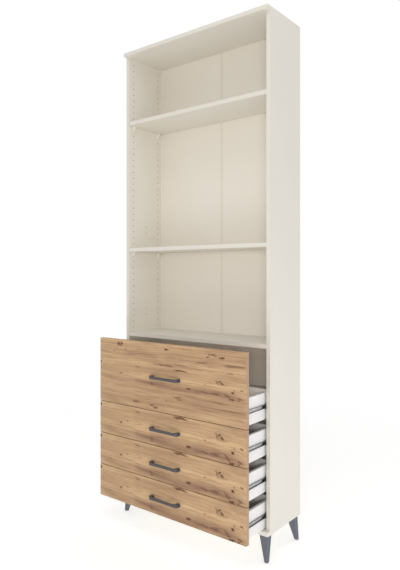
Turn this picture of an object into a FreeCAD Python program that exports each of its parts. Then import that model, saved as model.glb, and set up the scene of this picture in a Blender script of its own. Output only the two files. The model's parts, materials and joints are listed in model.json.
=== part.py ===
import FreeCAD, Part
import math
import os
import re
import Sketcher
from FreeCAD import Rotation, Vector

# Tall bookcase on splayed legs: open shelves above, four drawers below, drawn with the drawers pulled out.
# Millimetres. X runs to the right, Y to the back, Z up. The origin is on the floor, in the middle of the
# floor space that the bookcase takes with its drawers pulled out.

sizes = {
    # Carcass
    "width": 890,               # over the two sides
    "side_depth": 274,          # front edge to rear edge of a side
    "panel": 19,                # every board of the carcass
    "cap_overhang": 21,         # how far the top and bottom panels stand in front of the sides
    "open_height": 1463,        # fixed shelf to top panel
    "leg_height": 117,
    # Back
    "back_board": 3,
    "back_inset": 18,           # rear edge of the sides to the back board
    "groove_depth": 8,
    "groove_play": 0.3,
    "joiner_width": 14,         # strip that joins the two halves of the back
    "joiner_gauge": 1,
    # Shelves and the rows of holes for their supports
    "shelf_play": 1,            # each end of a loose shelf
    "shelf_setback": 1,         # front edge behind the sides' front edges
    "shelf_back_gap": 2,        # rear edge to back board
    "hole_pitch": 32,
    "pin_hole": 5,
    "hole_depth": 11,
    "first_hole": 24,           # above the fixed shelf
    "hole_row": 35,             # front edge of a side to the front row
    "row_spacing": 192,
    "middle_hole": 12,          # hole, counted from the lowest, that carries the middle shelf
    "upper_hole": 33,
    "support_drop": 21,         # underside of a loose shelf to the pin below it
    "support_foot": 4,          # pin to the lower end of the support
    "support_arm": 12,
    "support_gauge": 3,
    "support_width": 8,
    "pin_length": 9,
    # Fixings of the carcass
    "fixing_play": 0.2,         # round every screw, bolt, stud and cam
    "screw_core": 5,
    "screw_length": 60,
    "screw_head": 10,
    "screw_head_depth": 4,
    "screw_offset": 24,         # rows of holes to the screws, towards the middle of a side
    "cam_size": 15,
    "cam_depth": 13,
    "cam_distance": 24,         # end of a shelf to the middle of the cam
    "bolt": 6,
    "bolt_seat": 10,            # length of the bolt in the board that carries it
    "stud": 8,
    "stud_in_board": 10,
    "stud_in_leg": 20,
    # Legs
    "leg_head": 39,
    "leg_foot": 17,
    "leg_collar": 10,
    "leg_inset": 8,             # outline of the bottom panel to the head of a leg
    "foot_inset": 3.5,          # outline of the bottom panel to the foot of a leg
    # Drawer fronts
    "front_thickness": 19,
    "front_gap": 3,
    "front_reveal": 1.5,        # fronts are this much narrower than the carcass at each side
    "front_clearance": 1,       # closed front to the sides' front edges
    "front_overlap": 6,         # top front over the fixed shelf's edge
    "small_front": 157,
    "tall_front": 317,
    "drawer_open": 165,
    # Drawer boxes
    "box_board": 12,
    "box_height": 116,
    "box_length": 246,
    "box_lift": 1,              # lower edge of a front to the lower edge of its box
    "base_board": 3,
    "base_lift": 12,            # lower edge of the box to the drawer base
    "base_groove": 6,
    "box_cam_depth": 9,
    "box_cam_height": 88,       # lower edge of the box to the cam
    # Runners
    "runner_space": 10,         # side of the carcass to side of the drawer
    "runner_length": 240,
    "runner_setback": 3,
    "runner_height": 27,
    "runner_gauge": 1,
    "runner_flange": 8,
    "runner_lip": 1.1,
    "slider_height": 17.4,
    "slider_flange": 6.8,
    "slider_setback": 2,        # rear face of a front to the slider
    "screw_hole": 6.4,
    "runner_screw_inset": 28,
    "slot_inset": 78,           # front end of the slider to its adjusting slot
    "slot_length": 11,
    "cage_length": 78.5,
    "cage_nose": 12.5,          # how far the cage looks out of the carcass with the drawers open
    "nose_height": 16,
    "nose_length": 18,
    "cage_gauge": 0.8,
    "cage_clearance": 0.6,
    "cage_arm": 6.8,
    "ball": 3.2,
    "ball_pocket": 4,
    "ball_margin": 1.2,         # edge of the cage to the ball pockets
    "ball_inset": 8,            # rear end of the cage to its rear balls
    "ball_spacing": 36,
    # Handles
    "handle_spacing": 160,
    "handle_reach": 28,
    "handle_bar": 8,
    "handle_foot": 16,
    "handle_end": 14,           # height of the grip at its ends
    "handle_waist": 12,         # height of the grip in the middle
    "handle_corner": 17,
    "handle_inner_corner": 12,
    "handle_screw": 4,
    "handle_screw_depth": 12,
    "handle_screw_head": 8,
    "handle_screw_head_depth": 2.5,
}

# Places and sizes that follow from the driving dimensions
derived = {
    "front_plane": "(drawer_open + front_clearance + front_thickness + handle_reach - side_depth) / 2",
    "inner_half": "width / 2 - panel",
    "inner_depth": "side_depth - back_inset - back_board",
    "groove_width": "back_board + groove_play",
    "cap_depth": "side_depth + cap_overhang",
    "floor_top": "leg_height + panel",
    "front_width": "width - 2 * front_reveal",
    "low_4": "floor_top + front_gap",
    "low_3": "low_4 + small_front + front_gap",
    "low_2": "low_3 + small_front + front_gap",
    "low_1": "low_2 + small_front + front_gap",
    "fixed_low": "low_1 + tall_front - front_overlap",
    "fixed_top": "fixed_low + panel",
    "top_low": "fixed_top + open_height",
    "side_length": "top_low - floor_top",
    "hole_base": "fixed_top + first_hole",
    "hole_count": "floor((open_height - 2 * first_hole) / hole_pitch) + 1",
    "rear_row": "hole_row + row_spacing",
    "middle_row": "hole_row + row_spacing / 2",
    "middle_pin": "hole_base + middle_hole * hole_pitch",
    "upper_pin": "hole_base + upper_hole * hole_pitch",
    "front_screw": "hole_row + screw_offset",
    "rear_screw": "rear_row - screw_offset",
    "bolt_height": "fixed_low + panel / 2",
    "leg_centre": "leg_inset + leg_head / 2",
    "leg_lean": "foot_inset + leg_foot / 2 - leg_centre",
    "box_front": "front_plane - front_clearance - drawer_open",
    "box_half": "inner_half - runner_space",
    "box_inner": "box_half - box_board",
    "slider_front": "box_front + slider_setback",
    "runner_front": "front_plane + runner_setback",
    "cage_front": "front_plane - cage_nose",
    "ball_height": "(runner_height / 2 - runner_gauge + slider_height / 2) / 2",
    "ball_offset": "runner_gauge + cage_clearance + cage_arm - ball_pocket / 2 - ball_margin",
    "handle_length": "handle_spacing + handle_foot",
}

doc = FreeCAD.newDocument("Bookcase")
sheet = doc.addObject("Spreadsheet::Sheet", "Dims")
for row, (name, number) in enumerate(sizes.items(), 1):
    sheet.set(f"A{row}", name)
    sheet.set(f"B{row}", str(number))
    sheet.setAlias(f"B{row}", name)
doc.recompute()


def expand(text):
    """Write an expression over the sheet's cells, with every derived name spelled out."""
    def cell(match):
        word = match.group()
        if word in derived:
            return f"({expand(derived[word])})"
        return f"Dims.{word}" if word in sizes else word
    return re.sub(r"[a-z_][a-z0-9_]*", cell, str(text))


def bind(item, path, text):
    item.setExpression(path, expand(text))


def place(item, spot, turn=Rotation()):
    item.Placement.Rotation = turn
    for axis, text in zip("xyz", spot):
        bind(item, f"Placement.Base.{axis}", text)


def new_body(label, spot, turn=Rotation()):
    body = doc.addObject("PartDesign::Body", label)
    place(body, spot, turn)
    return body


def attach(feature, body, plane, offset):
    """Lay a feature on one of its body's own planes; a positive offset lies along that plane's normal."""
    support = next(item for item in body.Origin.OriginFeatures if item.Role == plane)
    feature.AttachmentSupport = [(support, "")]
    feature.MapMode = "FlatFace"
    bind(feature, "AttachmentOffset.Base.z", offset)


def new_sketch(body, plane, offset="0"):
    sketch = body.newObject("Sketcher::SketchObject", f"{body.Name}_sketch")
    attach(sketch, body, plane, offset)
    return sketch


def outline(sketch, points):
    """Closed outline through corners given as pairs of expressions; it starts as a loose ring of lines."""
    turns = [2 * math.pi * number / len(points) for number in range(len(points))]
    corners = [Vector(math.cos(turn), math.sin(turn)) for turn in turns]
    first = sketch.GeometryCount
    for start, end in zip(corners, corners[1:] + corners[:1]):
        sketch.addGeometry(Part.LineSegment(start, end), False)
    for side, (across, up) in enumerate(points):
        line = first + side
        following = first + (side + 1) % len(points)
        sketch.addConstraint(Sketcher.Constraint("Coincident", line, 2, following, 1))
        for kind, start, text in (("DistanceX", corners[side].x, across), ("DistanceY", corners[side].y, up)):
            number = sketch.addConstraint(Sketcher.Constraint(kind, -1, 1, line, 1, start))
            bind(sketch, f"Constraints[{number}]", text)


def rectangle(sketch, left, low, wide, tall):
    right = f"{left} + {wide}"
    high = f"{low} + {tall}"
    outline(sketch, [(left, low), (right, low), (right, high), (left, high)])


def circle(sketch, across, up, diameter):
    ring = sketch.addGeometry(Part.Circle(Vector(1, 1, 0), Vector(0, 0, 1), 0.5), False)
    for kind, ends, text in (("Diameter", (ring,), diameter), ("DistanceX", (-1, 1, ring, 3), across),
                             ("DistanceY", (-1, 1, ring, 3), up)):
        number = sketch.addConstraint(Sketcher.Constraint(kind, *ends, 1.0))
        bind(sketch, f"Constraints[{number}]", text)


def polygon(sides):
    """Corners of a regular polygon one unit across its flats, the first of them towards X."""
    reach = 0.5 / math.cos(math.pi / sides)
    turns = [2 * math.pi * number / sides for number in range(sides)]
    return [(round(reach * math.cos(turn), 6), round(reach * math.sin(turn), 6)) for turn in turns]


def hole(sketch, across, up, flats, sides=6):
    """Small hole drawn with flat sides, which keeps the faces few where there are hundreds of holes."""
    outline(sketch, [(f"{across} + ({flats}) * ({right})", f"{up} + ({flats}) * ({high})")
                     for right, high in polygon(sides)])


def pad(body, sketch, length, backwards=False, middle=False):
    feature = body.newObject("PartDesign::Pad", f"{body.Name}_pad")
    feature.Profile = sketch
    feature.Reversed = backwards
    feature.Midplane = middle
    bind(feature, "Length", length)
    return feature


def pocket(body, sketch, depth, backwards=False, middle=False):
    """Cut against the sketch's normal, or along it when backwards."""
    feature = body.newObject("PartDesign::Pocket", f"{body.Name}_pocket")
    feature.Profile = sketch
    feature.Reversed = backwards
    feature.Midplane = middle
    bind(feature, "Length", depth)
    return feature


def repeat(body, feature, sketch, axis, spacing, count):
    rows = body.newObject("PartDesign::LinearPattern", f"{body.Name}_rows")
    rows.Originals = [feature]
    rows.Direction = (sketch, [axis])
    rows.Mode = "Spacing"
    bind(rows, "Offset", spacing)
    bind(rows, "Occurrences", count)
    body.Tip = rows


def round_edges(body, radius, chosen):
    """Round the edges of the body's last feature that pass the test."""
    doc.recompute()
    base = body.Tip
    names = [f"Edge{number}" for number, edge in enumerate(base.Shape.Edges, 1) if chosen(edge)]
    feature = body.newObject("PartDesign::Fillet", f"{body.Name}_rounding")
    feature.Base = (base, names)
    bind(feature, "Radius", radius)
    body.Tip = feature


def board(label, spot, wide, deep, thick):
    body = new_body(label, spot)
    sketch = new_sketch(body, "XY_Plane")
    rectangle(sketch, "0", "0", wide, deep)
    pad(body, sketch, thick)
    return body


def bar(name, flats, length, sides=6):
    """Flat-sided bar along Z, with a corner towards X: the plain form of a screw, bolt, stud or cam."""
    prism = doc.addObject("Part::Prism", name)
    prism.Polygon = sides
    bind(prism, "Circumradius", f"({flats}) * {polygon(sides)[0][0]}")
    bind(prism, "Height", length)
    return prism


def joined(name, base, tool):
    form = doc.addObject("Part::Fuse", name)
    form.Base = base
    form.Tool = tool
    return form


def copies(name, form, spots):
    """Place copies of a form; each spot is a place and a turn."""
    made = []
    for spot, turn in spots:
        link = doc.addObject("App::Link", f"{name}_copy")
        link.LinkedObject = form
        place(link, spot, turn)
        made.append(link)
    return made


def group(label, items):
    node = doc.addObject("Part::Compound", label)
    node.Links = items
    return node


upright = Rotation()
upside_down = Rotation(Vector(1, 0, 0), 180)
turned_round = Rotation(Vector(0, 0, 1), 180)
rolled_over = Rotation(Vector(0, 1, 0), 180)
to_front = Rotation(Vector(1, 0, 0), 90)        # a bar along Z then points to the front
to_right = Rotation(Vector(1, 1, 1), 120)       # a bar along Z then points to the right
to_left = Rotation(Vector(0, 0, 1), 180) * to_right
hands = (("left", -1), ("right", 1))

bolt_hole = "bolt + 2 * fixing_play"
cam_hole = "cam_size + 2 * fixing_play"
screw_hole_size = "screw_core + 2 * fixing_play"
stud_hole = "stud + 2 * fixing_play"
fixed_rows = ("hole_row", "rear_row")
screw_rows = ("front_screw", "rear_screw")
drawers = {1: "tall_front", 2: "small_front", 3: "small_front", 4: "small_front"}


# Sides, drilled on their inner faces
def side(label, hand):
    body = new_body(label, (f"{hand} * inner_half", "front_plane", "floor_top"))
    inward = hand > 0
    sketch = new_sketch(body, "XY_Plane")
    rectangle(sketch, "0" if inward else "-panel", "0", "panel", "side_depth")
    pad(body, sketch, "side_length")

    groove = new_sketch(body, "YZ_Plane")
    rectangle(groove, "inner_depth", "0", "groove_width", "side_length")
    pocket(body, groove, "groove_depth", backwards=inward)

    bolts = new_sketch(body, "YZ_Plane")
    for row in fixed_rows:
        hole(bolts, row, "bolt_height - floor_top", bolt_hole)
    pocket(body, bolts, "bolt_seat + fixing_play", backwards=inward)

    for end, offset in ((True, "0"), (False, "side_length")):
        screws = new_sketch(body, "XY_Plane", offset)
        for row in screw_rows:
            hole(screws, f"{hand} * panel / 2", row, screw_hole_size)
        pocket(body, screws, "screw_length - panel + fixing_play", backwards=end)

    # Two pairs of holes halfway back, level with holes of the long rows
    pairs = new_sketch(body, "YZ_Plane")
    for number in (2, 3, 16, 17):
        hole(pairs, "middle_row", f"hole_base - floor_top + {number} * hole_pitch", "pin_hole")
    pocket(body, pairs, "hole_depth", backwards=inward)

    pins = new_sketch(body, "YZ_Plane")
    for row in fixed_rows:
        hole(pins, row, "hole_base - floor_top", "pin_hole")
    drilled = pocket(body, pins, "hole_depth", backwards=inward)
    repeat(body, drilled, pins, "V_Axis", "hole_pitch", "hole_count")
    return body


# Top and bottom panels: same board, screwed to the ends of the sides from outside
def cap(label, low, outer_up):
    body = board(label, ("-width / 2", "front_plane - cap_overhang", low), "width", "cap_depth", "panel")
    groove = new_sketch(body, "XY_Plane", "0" if outer_up else "panel")
    rectangle(groove, "panel - groove_depth", "cap_overhang + inner_depth",
              "width - 2 * (panel - groove_depth)", "groove_width")
    pocket(body, groove, "groove_depth", backwards=outer_up)
    spots = [(across, f"cap_overhang + {row}") for across in ("panel / 2", "width - panel / 2")
             for row in screw_rows]
    outer = "panel" if outer_up else "0"
    heads = new_sketch(body, "XY_Plane", outer)
    shanks = new_sketch(body, "XY_Plane", outer)
    for across, back in spots:
        hole(heads, across, back, "screw_head + 2 * fixing_play")
        hole(shanks, across, back, screw_hole_size)
    pocket(body, heads, "screw_head_depth", backwards=not outer_up)
    pocket(body, shanks, "panel", backwards=not outer_up)
    return body


leg_spots = {
    "front_left": ("leg_centre", "leg_centre", 0),
    "front_right": ("width - leg_centre", "leg_centre", 90),
    "back_right": ("width - leg_centre", "cap_depth - leg_centre", 180),
    "back_left": ("leg_centre", "cap_depth - leg_centre", 270),
}


def bottom_panel():
    body = cap("bottom_panel", "leg_height", outer_up=False)
    studs = new_sketch(body, "XY_Plane")
    for across, back, _ in leg_spots.values():
        hole(studs, across, back, stud_hole, sides=8)
    pocket(body, studs, "stud_in_board + fixing_play", backwards=True)
    return body


# Tapered leg with an upright collar, leaning out towards its corner
def leg(label, across, back, angle):
    spot = (f"{across} - width / 2", f"{back} + front_plane - cap_overhang", "leg_height")
    body = new_body(label, spot, Rotation(Vector(0, 0, 1), angle))
    head = new_sketch(body, "XY_Plane")
    rectangle(head, "-leg_head / 2", "-leg_head / 2", "leg_head", "leg_head")
    pad(body, head, "leg_collar", backwards=True)
    shaft = body.newObject("PartDesign::AdditiveWedge", f"{label}_shaft")
    attach(shaft, body, "XY_Plane", "-leg_collar")
    shaft.AttachmentOffset.Rotation = Rotation(Vector(1, 0, 0), -90)
    bind(shaft, "Ymin", "0")
    bind(shaft, "Ymax", "leg_height - leg_collar")
    for axis in "XZ":
        bind(shaft, f"{axis}min", "-leg_head / 2")
        bind(shaft, f"{axis}max", "leg_head / 2")
        bind(shaft, f"{axis}2min", "leg_lean - leg_foot / 2")
        bind(shaft, f"{axis}2max", "leg_lean + leg_foot / 2")
    body.Tip = shaft
    socket = new_sketch(body, "XY_Plane")
    hole(socket, "0", "0", stud_hole, sides=8)
    pocket(body, socket, "stud_in_leg + fixing_play")
    return body


def leg_studs():
    form = bar("stud_form", "stud", "stud_in_board + stud_in_leg", sides=8)
    spots = [((f"{across} - width / 2", f"{back} + front_plane - cap_overhang", "leg_height - stud_in_leg"),
              upright) for across, back, _ in leg_spots.values()]
    return group("leg_studs", copies("stud", form, spots))


# Long screws through the caps into the ends of the sides
def cap_screws():
    head = bar("screw_head_form", "screw_head", "screw_head_depth")
    shank = bar("screw_shank_form", "screw_core", "screw_length - screw_head_depth")
    bind(shank, "Placement.Base.z", "screw_head_depth")
    form = joined("screw_form", head, shank)
    spots = []
    for _, hand in hands:
        for row in screw_rows:
            across = f"{hand} * (inner_half + panel / 2)"
            back = f"front_plane + {row}"
            spots.append(((across, back, "leg_height"), upright))
            spots.append(((across, back, "top_low + panel"), upside_down))
    return group("cap_screws", copies("screw", form, spots))


# Fixed shelf over the drawers, held by cams and bolts
def fixed_shelf():
    deep = "inner_depth - shelf_back_gap - shelf_setback"
    body = board("fixed_shelf", ("-inner_half", "front_plane + shelf_setback", "fixed_low"),
                 "2 * inner_half", deep, "panel")
    cams = new_sketch(body, "XY_Plane")
    for across in ("cam_distance", "2 * inner_half - cam_distance"):
        for row in fixed_rows:
            hole(cams, across, f"{row} - shelf_setback", cam_hole, sides=8)
    pocket(body, cams, "cam_depth + fixing_play", backwards=True)
    for offset, inward in (("0", True), ("2 * inner_half", False)):
        bolts = new_sketch(body, "YZ_Plane", offset)
        for row in fixed_rows:
            hole(bolts, f"{row} - shelf_setback", "panel / 2", bolt_hole)
        pocket(body, bolts, "cam_distance", backwards=inward)
    return body


def cam_form(name, depth, bolt_level):
    """Cam with a bore from its rim to its middle for the head of the bolt."""
    drum = bar(f"{name}_drum", "cam_size", depth, sides=8)
    bore = bar(f"{name}_bore", bolt_hole, "cam_size")
    place(bore, ("-fixing_play", "0", bolt_level), to_right)
    form = doc.addObject("Part::Cut", name)
    form.Base = drum
    form.Tool = bore
    return form


def cam_locks():
    form = cam_form("cam_form", "cam_depth", "panel / 2")
    spots = []
    for _, hand in hands:
        turn = upright if hand > 0 else turned_round
        for row in fixed_rows:
            across = f"{hand} * (inner_half - cam_distance)"
            spots.append(((across, f"front_plane + {row}", "fixed_low"), turn))
    return group("cam_locks", copies("cam", form, spots))


def cam_bolts():
    form = bar("bolt_form", "bolt", "bolt_seat + cam_distance - fixing_play")
    spots = []
    for _, hand in hands:
        turn = to_left if hand > 0 else to_right
        for row in fixed_rows:
            across = f"{hand} * (inner_half + bolt_seat)"
            spots.append(((across, f"front_plane + {row}", "bolt_height"), turn))
    return group("cam_bolts", copies("bolt", form, spots))


# Loose shelves and the brackets that carry them
def loose_shelf(label, pin):
    return board(label, ("shelf_play - inner_half", "front_plane + shelf_setback", f"{pin} + support_drop"),
                 "2 * (inner_half - shelf_play)", "inner_depth - shelf_back_gap - shelf_setback", "panel")


def shelf_supports():
    form = new_body("support_form", ("0", "0", "0"))
    wedge = new_sketch(form, "XZ_Plane")
    outline(wedge, [("0", "-support_foot"), ("support_gauge", "-support_foot"),
                    ("support_arm", "support_drop - support_gauge"), ("support_arm", "support_drop"),
                    ("0", "support_drop")])
    pad(form, wedge, "support_width", middle=True)
    pin = new_sketch(form, "YZ_Plane")
    hole(pin, "0", "0", "pin_hole - 2 * fixing_play")
    pad(form, pin, "pin_length", backwards=True)
    spots = []
    for _, hand in hands:
        turn = turned_round if hand > 0 else upright
        for row in fixed_rows:
            for height in ("middle_pin", "upper_pin"):
                spots.append(((f"{hand} * inner_half", f"front_plane + {row}", height), turn))
    return group("shelf_supports", copies("support", form, spots))


# Back in two halves, held in the grooves and joined by a strip in the middle
def back_panel(label, hand):
    reach = "inner_half + groove_depth - groove_play - joiner_gauge / 2"
    left = "joiner_gauge / 2" if hand > 0 else f"-joiner_gauge / 2 - ({reach})"
    low = "floor_top - groove_depth + groove_play"
    return board(label, (left, "front_plane + inner_depth + groove_play / 2", low), reach, "back_board",
                 "side_length + 2 * (groove_depth - groove_play)")


def back_joiner():
    back = "front_plane + inner_depth + groove_play / 2"
    body = new_body("back_joiner", ("0", back, "floor_top + groove_play"))
    half = "joiner_width / 2"
    web = "joiner_gauge / 2"
    right_half = [(half, "-joiner_gauge"), (half, "0"), (web, "0"), (web, "back_board"), (half, "back_board"),
                  (half, "back_board + joiner_gauge")]
    left_half = [(f"-{across}", deep) for across, deep in reversed(right_half)]
    sketch = new_sketch(body, "XY_Plane")
    outline(sketch, right_half + left_half)
    pad(body, sketch, "side_length - 2 * groove_play")
    return body


# Two-part runners: a channel on the carcass, a slider on the drawer and caged balls between them.
# Each form is drawn for the left side of the carcass, from the carcass face at X = 0 to the drawer.
def channel(name, points, length):
    body = new_body(name, ("0", "0", "0"))
    sketch = new_sketch(body, "XZ_Plane")
    upper = points
    lower = [(across, f"-({up})") for across, up in reversed(points)]
    outline(sketch, upper + lower)
    pad(body, sketch, length, backwards=True)
    return body


def runner_form():
    inner = "runner_height / 2 - runner_gauge"
    edge = "runner_flange - runner_gauge"
    body = channel("runner_form", [
        ("runner_gauge", inner), (edge, inner), (edge, f"{inner} - runner_lip"),
        ("runner_flange", f"{inner} - runner_lip"), ("runner_flange", "runner_height / 2"),
        ("0", "runner_height / 2")][::-1], "runner_length")
    holes = new_sketch(body, "YZ_Plane")
    for back in ("runner_screw_inset", "runner_length - runner_screw_inset"):
        hole(holes, back, "0", "screw_hole")
    pocket(body, holes, "runner_gauge", backwards=True)
    return body


def slider_form():
    inner = "slider_height / 2 - runner_gauge"
    edge = "runner_space - slider_flange"
    body = channel("slider_form", [
        ("runner_space", "slider_height / 2"), (edge, "slider_height / 2"), (edge, inner),
        ("runner_space - runner_gauge", inner)], "runner_length")
    holes = new_sketch(body, "YZ_Plane", "runner_space")
    for back in ("runner_screw_inset", "runner_length - runner_screw_inset"):
        hole(holes, back, "0", "screw_hole")
    rectangle(holes, "slot_inset - slot_length / 2", "-screw_hole / 2", "slot_length", "screw_hole")
    pocket(body, holes, "runner_gauge")
    return body


def cage_form():
    web = "runner_gauge + cage_clearance"
    outer = "ball_height + cage_gauge / 2"
    body = channel("cage_form", [
        (web, outer), (f"{web} + cage_arm", outer), (f"{web} + cage_arm", f"{outer} - cage_gauge"),
        (f"{web} + cage_gauge", f"{outer} - cage_gauge")], "cage_length")
    pockets = new_sketch(body, "XY_Plane")
    for back in ("cage_length - ball_inset", "cage_length - ball_inset - ball_spacing"):
        hole(pockets, "ball_offset", back, "ball_pocket")
    pocket(body, pockets, "runner_height", middle=True)
    nose = new_sketch(body, "YZ_Plane")
    for low in ("nose_height / 2", "-runner_height / 2"):
        rectangle(nose, "0", low, "nose_length", "(runner_height - nose_height) / 2")
    pocket(body, nose, "runner_space", backwards=True)
    return body


def ball_form():
    """Ball drawn with twenty flat faces, because the balls are many and hidden in the runners."""
    golden = (1 + 5 ** 0.5) / 2
    scale = sheet.ball / 2 / (1 + golden ** 2) ** 0.5
    corners = [Vector(*[(0, a, b)[(axis - turn) % 3] for axis in range(3)]) * scale
               for turn in range(3) for a in (-1, 1) for b in (-golden, golden)]
    side_length = 2 * scale
    faces = []
    for one in range(12):
        for two in range(one + 1, 12):
            for three in range(two + 1, 12):
                trio = [corners[one], corners[two], corners[three]]
                spans = [(trio[n] - trio[n - 1]).Length for n in range(3)]
                if max(spans) < side_length * 1.01:
                    faces.append(Part.Face(Part.makePolygon(trio + trio[:1])))
    form = doc.addObject("Part::Feature", "ball_form")
    form.Shape = Part.Solid(Part.Shell(faces))
    return form


def runner_height_of(number):
    return f"low_{number} + box_lift + box_height / 2"


def cabinet_runners(side_name, hand, form):
    turn = upright if hand < 0 else rolled_over
    spots = [((f"{hand} * inner_half", "runner_front", runner_height_of(number)), turn) for number in drawers]
    return group(f"cabinet_runners_{side_name}", copies("runner", form, spots))


def drawer_runners(number, form):
    spots = [((f"{hand} * inner_half", "slider_front", runner_height_of(number)),
              upright if hand < 0 else rolled_over) for _, hand in hands]
    return group(f"drawer_{number}_runners", copies("slider", form, spots))


def ball_cages(number, cage, ball):
    level = runner_height_of(number)
    items = []
    for _, hand in hands:
        turn = upright if hand < 0 else rolled_over
        items += copies("cage", cage, [((f"{hand} * inner_half", "cage_front", level), turn)])
        across = f"{hand} * (inner_half - ball_offset)"
        for inset in ("ball_inset", "ball_inset + ball_spacing"):
            for sign in ("+", "-"):
                spot = (across, f"cage_front + cage_length - ({inset})", f"{level} {sign} ball_height")
                items += copies("ball", ball, [(spot, upright)])
    return group(f"ball_cages_{number}", items)


# Drawer: front, box and bow handle
def drawer_front(number, tall):
    low = f"low_{number}"
    body = new_body(f"drawer_{number}_front", ("0", "box_front", low))
    face = new_sketch(body, "XZ_Plane")
    rectangle(face, "-front_width / 2", "0", "front_width", tall)
    pad(body, face, "front_thickness")
    groove = new_sketch(body, "XZ_Plane")
    rectangle(groove, "-box_inner - base_groove", "box_lift + base_lift", "2 * (box_inner + base_groove)",
              "base_board + groove_play")
    pocket(body, groove, "base_groove", backwards=True)
    bolts = new_sketch(body, "XZ_Plane")
    for _, hand in hands:
        hole(bolts, f"{hand} * (box_half - box_board / 2)", "box_lift + box_cam_height", bolt_hole)
    pocket(body, bolts, "bolt_seat + fixing_play", backwards=True)
    screws = new_sketch(body, "XZ_Plane")
    for _, hand in hands:
        hole(screws, f"{hand} * handle_spacing / 2", f"{tall} / 2", "handle_screw + 2 * fixing_play")
    pocket(body, screws, "front_thickness", backwards=True)
    return body


def drawer_side(number, side_name, hand):
    spot = (f"{hand} * box_inner", "box_front", f"low_{number} + box_lift")
    body = new_body(f"drawer_{number}_{side_name}_side", spot)
    inward = hand > 0
    sketch = new_sketch(body, "XY_Plane")
    rectangle(sketch, "0" if inward else "-box_board", "0", "box_board", "box_length")
    pad(body, sketch, "box_height")
    groove = new_sketch(body, "YZ_Plane")
    rectangle(groove, "0", "base_lift", "box_length", "base_board + groove_play")
    pocket(body, groove, "base_groove", backwards=inward)
    cams = new_sketch(body, "YZ_Plane")
    hole(cams, "cam_distance", "box_cam_height", cam_hole, sides=8)
    pocket(body, cams, "box_cam_depth + fixing_play", backwards=inward)
    bolts = new_sketch(body, "XZ_Plane")
    hole(bolts, f"{hand} * box_board / 2", "box_cam_height", bolt_hole)
    pocket(body, bolts, "cam_distance")
    return body


def drawer_back(number):
    low = f"low_{number} + box_lift + base_lift + base_board + groove_play"
    return board(f"drawer_{number}_back", ("-box_inner", "box_front + box_length - box_board", low),
                 "2 * box_inner", "box_board", "box_height - base_lift - base_board - groove_play")


def drawer_bottom(number):
    overlap = "base_groove - groove_play"
    spot = (f"-box_inner - ({overlap})", f"box_front - ({overlap})", f"low_{number} + box_lift + base_lift")
    return board(f"drawer_{number}_bottom", spot, f"2 * (box_inner + {overlap})", f"box_length + {overlap}",
                 "base_board")


def drawer_handle(number, tall):
    """Bow handle: straight grip on two feet, higher at its ends than in the middle."""
    spot = ("0", "box_front - front_thickness", f"low_{number} + {tall} / 2")
    body = new_body(f"drawer_{number}_handle", spot)
    plan = new_sketch(body, "XY_Plane")
    rectangle(plan, "-handle_length / 2", "-handle_reach", "handle_length", "handle_reach")
    pad(body, plan, "handle_end", middle=True)
    gap = new_sketch(body, "XY_Plane")
    rectangle(gap, "handle_foot - handle_length / 2", "handle_bar - handle_reach",
              "handle_length - 2 * handle_foot", "handle_reach - handle_bar")
    pocket(body, gap, "handle_end", middle=True)

    def bend(edge, deep):
        ends = [point.Point for point in edge.Vertexes]
        upright_edge = abs(ends[0].z - ends[1].z) > sheet.handle_end / 2
        return upright_edge and all(abs(end.y - deep) < 0.01 for end in ends)

    round_edges(body, "handle_corner", lambda edge: bend(edge, -sheet.handle_reach))
    inside = sheet.handle_bar - sheet.handle_reach
    round_edges(body, "handle_inner_corner", lambda edge: bend(edge, inside))
    cut = "(handle_end - handle_waist) / 2"
    radius = f"((handle_spacing / 2) ^ 2 + ({cut}) ^ 2) / (2 * {cut})"
    waist = new_sketch(body, "XZ_Plane")
    for sign in ("", "-"):
        circle(waist, "0", f"{sign}(handle_waist / 2 + {radius})", f"2 * {radius}")
    pocket(body, waist, "4 * handle_reach", middle=True)
    screws = new_sketch(body, "XZ_Plane")
    for _, hand in hands:
        hole(screws, f"{hand} * handle_spacing / 2", "0", "handle_screw + 2 * fixing_play")
    pocket(body, screws, "handle_screw_depth + fixing_play", backwards=True)
    return body


def drawer_fixings(number, tall, forms):
    cam, bolt, screw = forms
    cam_level = f"low_{number} + box_lift + box_cam_height"
    items = []
    for _, hand in hands:
        turn = Rotation(Vector(0, 1, 0), 90 * hand) * Rotation(Vector(0, 0, 1), -90)
        spot = (f"{hand} * box_inner", "box_front + cam_distance", cam_level)
        items += copies("box_cam", cam, [(spot, turn)])
        across = f"{hand} * (box_half - box_board / 2)"
        back = "box_front + cam_distance - fixing_play"
        items += copies("box_bolt", bolt, [((across, back, cam_level), to_front)])
        across = f"{hand} * handle_spacing / 2"
        level = f"low_{number} + {tall} / 2"
        back = "box_front + handle_screw_head_depth"
        items += copies("handle_screw", screw, [((across, back, level), to_front)])
    return group(f"drawer_{number}_fixings", items)


def handle_screw_form():
    head = bar("handle_screw_head_form", "handle_screw_head", "handle_screw_head_depth")
    shank = bar("handle_screw_shank_form", "handle_screw", "front_thickness + handle_screw_depth")
    bind(shank, "Placement.Base.z", "handle_screw_head_depth")
    return joined("handle_screw_form", head, shank)


# Build every piece
nodes = [side("left_side", -1), side("right_side", 1)]
nodes += [cap("top_panel", "top_low", outer_up=True), bottom_panel(), cap_screws()]
nodes += [fixed_shelf(), cam_locks(), cam_bolts()]
nodes += [loose_shelf("middle_shelf", "middle_pin"), loose_shelf("upper_shelf", "upper_pin")]
nodes += [shelf_supports()]
nodes += [back_panel(f"back_panel_{name}", hand) for name, hand in hands]
nodes += [back_joiner(), leg_studs()]
nodes += [leg(f"leg_{name}", *spot) for name, spot in leg_spots.items()]

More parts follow.
